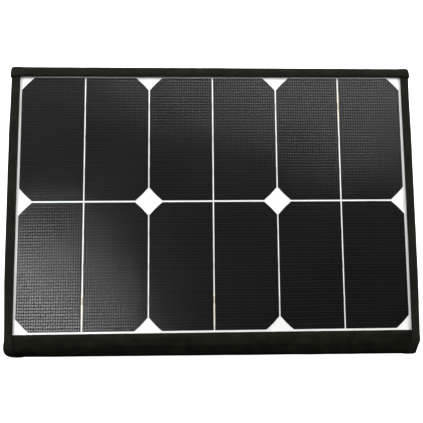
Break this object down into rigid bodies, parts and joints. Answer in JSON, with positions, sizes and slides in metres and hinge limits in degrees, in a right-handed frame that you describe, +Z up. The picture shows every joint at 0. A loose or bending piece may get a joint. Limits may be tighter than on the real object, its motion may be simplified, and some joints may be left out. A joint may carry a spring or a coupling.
{
  "type": "folding solar suitcase kit",
  "caption": "Folding solar suitcase: three fabric-bound solar panels in an accordion fold over a back shell with stand legs and a carry handle, with a charge controller inside.",
  "frame": {"origin": "centre of the flat underside of the back shell that the closed suitcase lies on", "axes": "+Z up out of the top panel's cells, +X along the panels' long side, +Y from the near fold to the far fold"},
  "size_m": [0.406, 0.2968, 0.0484],
  "materials": {
    "cells": "polished",
    "front_sheet": "dimpled clear film",
    "white_board": "satin",
    "foam": "matt",
    "junction": "matt",
    "cable": "matt",
    "cloth": "woven",
    "binding": "woven tape",
    "stiffener": "matt",
    "case": "fine texture",
    "circuit_board": "satin",
    "display": "satin",
    "display_window": "clear",
    "terminals": "matt",
    "steel": "plated",
    "button": "matt",
    "pocket_cloth": "woven",
    "spacer_foam": "matt",
    "hook_and_loop": "napped",
    "moulded_plate": "fine texture",
    "moulded_leg": "fine texture",
    "rubber": "matt"
  },
  "bodies": {
    "panel_c": {"back_cover_c": "cloth", "board_c": "white_board", "cells_c": "cells", "end_binding_c": "binding", "face_cover_c": "cloth", "foam_c": "foam", "front_sheet_c": "front_sheet", "jumper_c": "cable", "junction_c": "junction", "side_bindings_c": "binding", "back_shell": "moulded_plate", "hinge_pins": "steel"},
    "spine_bc": {"spine_bindings_bc": "binding", "spine_cover_bc": "cloth", "spine_jumper_bc": "cable", "spine_pad_bc": "stiffener"},
    "panel_b": {"back_cover_b": "cloth", "board_b": "white_board", "cells_b": "cells", "face_cover_b": "cloth", "foam_b": "foam", "front_sheet_b": "front_sheet", "jumper_b": "cable", "junction_b": "junction", "side_bindings_b": "binding", "pocket": "pocket_cloth", "spacers": "spacer_foam", "loop_pads": "hook_and_loop"},
    "spine_ab": {"spine_bindings_ab": "binding", "spine_cover_ab": "cloth", "spine_jumper_ab": "cable", "spine_pad_ab": "stiffener"},
    "panel_a": {"back_cover_a": "cloth", "board_a": "white_board", "cells_a": "cells", "end_binding_a": "binding", "face_cover_a": "cloth", "foam_a": "foam", "front_sheet_a": "front_sheet", "jumper_a": "cable", "junction_a": "junction", "side_bindings_a": "binding", "hook_pads": "hook_and_loop", "controller_lead": "cable", "controller_base": "case", "controller_cover": "case", "circuit_board": "circuit_board", "display": "display", "display_window": "display_window", "terminal_block": "terminals", "usb_sockets": "steel"},
    "button_menu": {"button_menu": "button"},
    "button_load": {"button_load": "button"},
    "leg_left": {"leg_left": "moulded_leg", "leg_foot_left": "rubber"},
    "leg_right": {"leg_right": "moulded_leg", "leg_foot_right": "rubber"},
    "handle": {"handle": "moulded_leg", "handle_grip": "rubber"}
  },
  "joints": [
    {"name": "rear_fold_lower", "type": "hinge", "parent": "panel_c", "child": "spine_bc", "pos_m": [0, 0.14183, 0.00727], "axis": [-1, 0, 0], "range_deg": [0, 90]},
    {"name": "rear_fold_upper", "type": "hinge", "parent": "spine_bc", "child": "panel_b", "pos_m": [0, 0.14183, 0.02093], "axis": [-1, 0, 0], "range_deg": [0, 90]},
    {"name": "front_fold_lower", "type": "hinge", "parent": "panel_b", "child": "spine_ab", "pos_m": [0, -0.14887, 0.01883], "axis": [1, 0, 0], "range_deg": [0, 90]},
    {"name": "front_fold_upper", "type": "hinge", "parent": "spine_ab", "child": "panel_a", "pos_m": [0, -0.14887, 0.04357], "axis": [1, 0, 0], "range_deg": [0, 90]},
    {"name": "leg_left_hinge", "type": "hinge", "parent": "panel_c", "child": "leg_left", "pos_m": [-0.127, 0.112, 0.0025], "axis": [1, 0, 0], "range_deg": [0, 100]},
    {"name": "leg_right_hinge", "type": "hinge", "parent": "panel_c", "child": "leg_right", "pos_m": [0.127, 0.112, 0.0025], "axis": [1, 0, 0], "range_deg": [0, 100]},
    {"name": "handle_hinge", "type": "hinge", "parent": "panel_c", "child": "handle", "pos_m": [0, 0.118, 0.0025], "axis": [1, 0, 0], "range_deg": [0, 180]},
    {"name": "button_menu_press", "type": "slide", "parent": "panel_a", "child": "button_menu", "axis": [0, 0, 1], "range_m": [0, 0.0008], "stiffness_N_per_m": 300, "springref_m": -0.001},
    {"name": "button_load_press", "type": "slide", "parent": "panel_a", "child": "button_load", "axis": [0, 0, 1], "range_m": [0, 0.0008], "stiffness_N_per_m": 300, "springref_m": -0.001}
  ],
  "couplings": [
    {"joint": "rear_fold_upper", "follows": "rear_fold_lower", "ratio": 1},
    {"joint": "front_fold_upper", "follows": "front_fold_lower", "ratio": 1}
  ]
}
